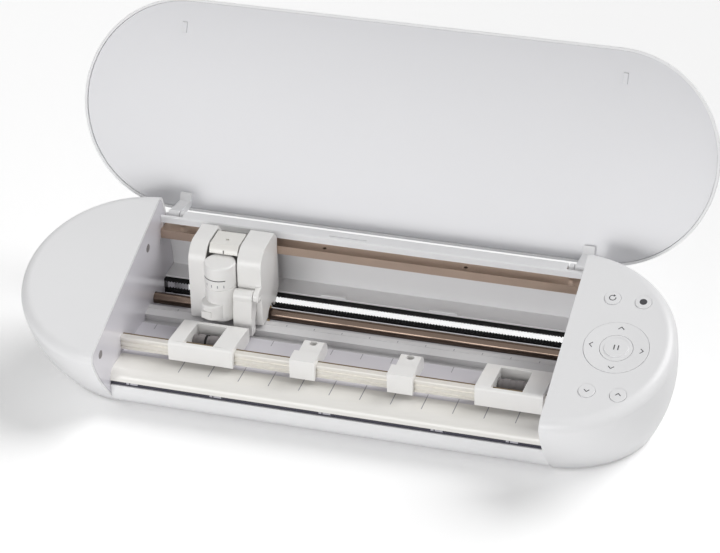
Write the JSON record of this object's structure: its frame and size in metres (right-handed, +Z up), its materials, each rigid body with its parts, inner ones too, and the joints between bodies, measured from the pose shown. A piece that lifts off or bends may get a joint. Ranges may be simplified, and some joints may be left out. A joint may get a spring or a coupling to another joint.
{
  "type": "vinyl cutter",
  "caption": "Desktop vinyl cutter with rounded ends, a hinged lid standing open, a tool carriage on a rail and shaft, pinch rollers and a control panel.",
  "frame": {"origin": "middle of the open machine's outline, on the surface it stands on", "axes": "+X to the control panel, +Y to the back, +Z up"},
  "size_m": [0.5436, 0.2811, 0.2594],
  "materials": {
    "white_abs": "moulded, fine satin",
    "lavender_abs": "moulded, smooth",
    "cream_abs": "moulded, smooth",
    "warm_white_abs": "moulded, satin",
    "lid_inner": "moulded, smooth",
    "dark_strip": "moulded, satin",
    "button_white": "moulded, satin",
    "bronze_rail": "bronze anodised",
    "ground_steel": "ground and browned",
    "bar_aluminium": "extruded, pale anodised",
    "belt_rubber": "moulded, matt",
    "roller_rubber": "moulded, matt",
    "foot_rubber": "moulded, matt",
    "motor_steel": "painted",
    "grit_steel": "knurled",
    "gear_plastic": "moulded",
    "blade_steel": "ground",
    "board_laminate": "printed",
    "bearing_brass": "turned",
    "black_abs": "moulded"
  },
  "bodies": {
    "machine": {"base_pan": "lavender_abs", "left_skirt": "white_abs", "right_skirt": "white_abs", "left_top_cover": "white_abs", "right_top_cover": "white_abs", "left_side_wall": "lavender_abs", "right_side_wall": "lavender_abs", "rear_housing": "white_abs", "hinge_ledge": "white_abs", "hinge_ears": "white_abs", "front_panel": "white_abs", "front_slot": "dark_strip", "front_apron": "cream_abs", "platen": "lavender_abs", "cutting_strip": "cream_abs", "rear_platen": "lavender_abs", "upper_rail": "bronze_rail", "guide_shaft": "ground_steel", "pinch_bar": "bar_aluminium", "bar_rod": "ground_steel", "drive_belt": "belt_rubber", "carriage_motor": "motor_steel", "feed_motor": "motor_steel", "idler_bracket": "blade_steel", "main_board": "board_laminate", "rear_sockets": "black_abs", "feed_bushes": "black_abs", "lid_bumpers": "roller_rubber", "feet": "foot_rubber"},
    "lid": {"lid_shell": "white_abs", "lid_panel": "lid_inner", "lid_arms": "white_abs"},
    "carriage": {"carriage_body": "warm_white_abs", "carriage_left_cover": "warm_white_abs", "carriage_right_cover": "warm_white_abs", "carriage_bushes": "bearing_brass", "clamp_block": "cream_abs"},
    "tool": {"tool_holder": "warm_white_abs", "blade": "blade_steel"},
    "dial": {"depth_dial": "warm_white_abs"},
    "lever": {"clamp_lever": "warm_white_abs"},
    "feed": {"feed_roller": "grit_steel", "feed_gear": "gear_plastic"},
    "pinion": {"motor_pinion": "bearing_brass"},
    "drive_wheel": {"drive_pulley": "blade_steel"},
    "idler_wheel": {"idler_pulley": "blade_steel"},
    "nav_ring": {"nav_ring": "button_white"},
    "pause_button": {"pause_button": "button_white"},
    "down_button": {"down_button": "button_white"},
    "load_button": {"load_button": "button_white"},
    "up_button": {"up_button": "button_white"},
    "power_button": {"power_button": "button_white"},
    "left_pinch": {"left_pinch_housing": "warm_white_abs"},
    "left_pinch_wheel": {"left_pinch_roller": "roller_rubber"},
    "right_pinch": {"right_pinch_housing": "warm_white_abs"},
    "right_pinch_wheel": {"right_pinch_roller": "roller_rubber"},
    "mid_left_pinch": {"mid_left_pinch_housing": "warm_white_abs"},
    "mid_left_pinch_wheel": {"mid_left_pinch_roller": "roller_rubber"},
    "mid_right_pinch": {"mid_right_pinch_housing": "warm_white_abs"},
    "mid_right_pinch_wheel": {"mid_right_pinch_roller": "roller_rubber"}
  },
  "joints": [
    {"name": "lid_hinge", "type": "hinge", "parent": "machine", "child": "lid", "pos_m": [0, 0.03821, 0.105], "axis": [1, 0, 0], "range_deg": [0, 130.4]},
    {"name": "carriage_slide", "type": "slide", "parent": "machine", "child": "carriage", "axis": [1, 0, 0], "range_m": [-0.037, 0.255]},
    {"name": "drive_pulley_spin", "type": "hinge", "parent": "machine", "child": "drive_wheel", "pos_m": [0.205, 0.02781, 0.0425], "axis": [0, 1, 0], "range_deg": [-444, 2942.1]},
    {"name": "idler_pulley_spin", "type": "hinge", "parent": "machine", "child": "idler_wheel", "pos_m": [-0.205, 0.02781, 0.0425], "axis": [0, 1, 0], "range_deg": [-444, 2942.1]},
    {"name": "tool_lift", "type": "slide", "parent": "carriage", "child": "tool", "axis": [0, 0, 1], "range_m": [-0.0023, 0]},
    {"name": "depth_dial_turn", "type": "hinge", "parent": "tool", "child": "dial", "pos_m": [-0.1133, -0.02226, 0.09], "axis": [0, 0, 1], "range_deg": [-150, 150]},
    {"name": "clamp_lever_hinge", "type": "hinge", "parent": "carriage", "child": "lever", "pos_m": [-0.092, -0.02506, 0.078], "axis": [-1, 0, 0], "range_deg": [0, 10]},
    {"name": "feed_roller_spin", "type": "hinge", "parent": "machine", "child": "feed", "pos_m": [0, -0.05636, 0.03485], "axis": [1, 0, 0], "continuous": true},
    {"name": "motor_pinion_spin", "type": "hinge", "parent": "machine", "child": "pinion", "pos_m": [0.19, -0.03745, 0.03818], "axis": [1, 0, 0], "continuous": true},
    {"name": "left_pinch_slide", "type": "slide", "parent": "machine", "child": "left_pinch", "axis": [1, 0, 0], "range_m": [-0.04, 0.033]},
    {"name": "left_pinch_roller_spin", "type": "hinge", "parent": "left_pinch", "child": "left_pinch_wheel", "pos_m": [-0.1115, -0.05636, 0.0474], "axis": [1, 0, 0], "continuous": true},
    {"name": "right_pinch_slide", "type": "slide", "parent": "machine", "child": "right_pinch", "axis": [1, 0, 0], "range_m": [-0.028, 0.0085]},
    {"name": "right_pinch_roller_spin", "type": "hinge", "parent": "right_pinch", "child": "right_pinch_wheel", "pos_m": [0.144, -0.05636, 0.0474], "axis": [1, 0, 0], "continuous": true},
    {"name": "mid_left_pinch_slide", "type": "slide", "parent": "machine", "child": "mid_left_pinch", "axis": [1, 0, 0], "range_m": [-0.013, 0.019]},
    {"name": "mid_left_pinch_roller_spin", "type": "hinge", "parent": "mid_left_pinch", "child": "mid_left_pinch_wheel", "pos_m": [-0.0255, -0.05636, 0.0474], "axis": [1, 0, 0], "continuous": true},
    {"name": "mid_right_pinch_slide", "type": "slide", "parent": "machine", "child": "mid_right_pinch", "axis": [1, 0, 0], "range_m": [-0.038, 0.02]},
    {"name": "mid_right_pinch_roller_spin", "type": "hinge", "parent": "mid_right_pinch", "child": "mid_right_pinch_wheel", "pos_m": [0.0555, -0.05636, 0.0474], "axis": [1, 0, 0], "continuous": true},
    {"name": "pause_button_press", "type": "slide", "parent": "machine", "child": "pause_button", "axis": [0, 0.294, -0.9558], "range_m": [0, 0.001], "stiffness_N_per_m": 200},
    {"name": "down_button_press", "type": "slide", "parent": "machine", "child": "down_button", "axis": [0, 0.294, -0.9558], "range_m": [0, 0.001], "stiffness_N_per_m": 200},
    {"name": "load_button_press", "type": "slide", "parent": "machine", "child": "load_button", "axis": [0, 0.294, -0.9558], "range_m": [0, 0.001], "stiffness_N_per_m": 200},
    {"name": "up_button_press", "type": "slide", "parent": "machine", "child": "up_button", "axis": [0, 0.294, -0.9558], "range_m": [0, 0.001], "stiffness_N_per_m": 200},
    {"name": "power_button_press", "type": "slide", "parent": "machine", "child": "power_button", "axis": [0, 0.294, -0.9558], "range_m": [0, 0.001], "stiffness_N_per_m": 200},
    {"name": "nav_ring_rock", "type": "hinge", "parent": "machine", "child": "nav_ring", "pos_m": [0.2236, -0.05927, 0.09873], "axis": [1, 0, 0], "range_deg": [-2, 2], "stiffness_Nm_per_rad": 0.3}
  ],
  "couplings": [
    {"joint": "drive_pulley_spin", "follows": "carriage_slide", "rad_per_m": 200},
    {"joint": "idler_pulley_spin", "follows": "carriage_slide", "rad_per_m": 200},
    {"joint": "motor_pinion_spin", "follows": "feed_roller_spin", "ratio": -3},
    {"joint": "left_pinch_roller_spin", "follows": "feed_roller_spin", "ratio": -0.96774},
    {"joint": "right_pinch_roller_spin", "follows": "feed_roller_spin", "ratio": -0.96774},
    {"joint": "mid_left_pinch_roller_spin", "follows": "feed_roller_spin", "ratio": -0.96774},
    {"joint": "mid_right_pinch_roller_spin", "follows": "feed_roller_spin", "ratio": -0.96774}
  ]
}
